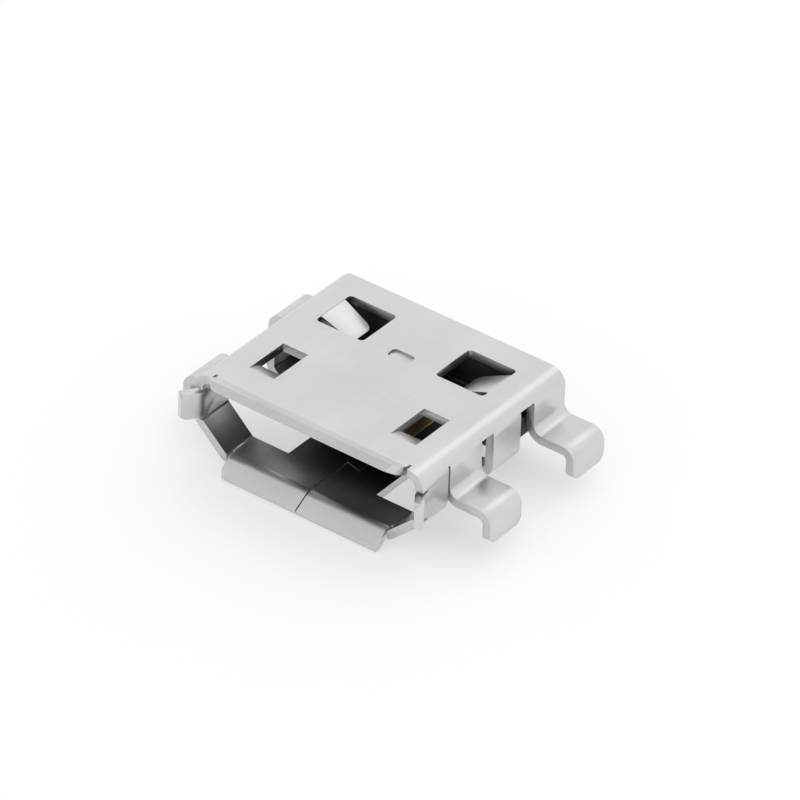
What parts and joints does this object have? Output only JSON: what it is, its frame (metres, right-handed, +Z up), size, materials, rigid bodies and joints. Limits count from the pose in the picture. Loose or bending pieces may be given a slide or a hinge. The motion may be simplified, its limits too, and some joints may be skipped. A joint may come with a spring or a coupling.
{
  "type": "micro usb socket",
  "caption": "Board-edge micro-B USB socket: folded sheet-metal shell with a splayed mouth, bent solder legs and top windows, around a black insulator with a row of contacts.",
  "frame": {"origin": "middle of the part's box in plan, at the height of its lowest edge, the splayed lower flap", "axes": "+X across the mouth towards the power contact's side, +Y from the mouth to the solder feet, +Z up through the windowed wall"},
  "size_m": [0.01, 0.0072, 0.0029],
  "materials": {
    "shell_metal": "satin plated sheet, light neutral grey",
    "insulator_plastic": "matte black moulding",
    "contact_metal": "thin gold plating"
  },
  "bodies": {
    "root": {"shell": "shell_metal", "insulator": "insulator_plastic", "contact_power": "contact_metal", "contact_data_minus": "contact_metal", "contact_data_plus": "contact_metal", "contact_id": "contact_metal", "contact_ground": "contact_metal"}
  },
  "joints": []
}
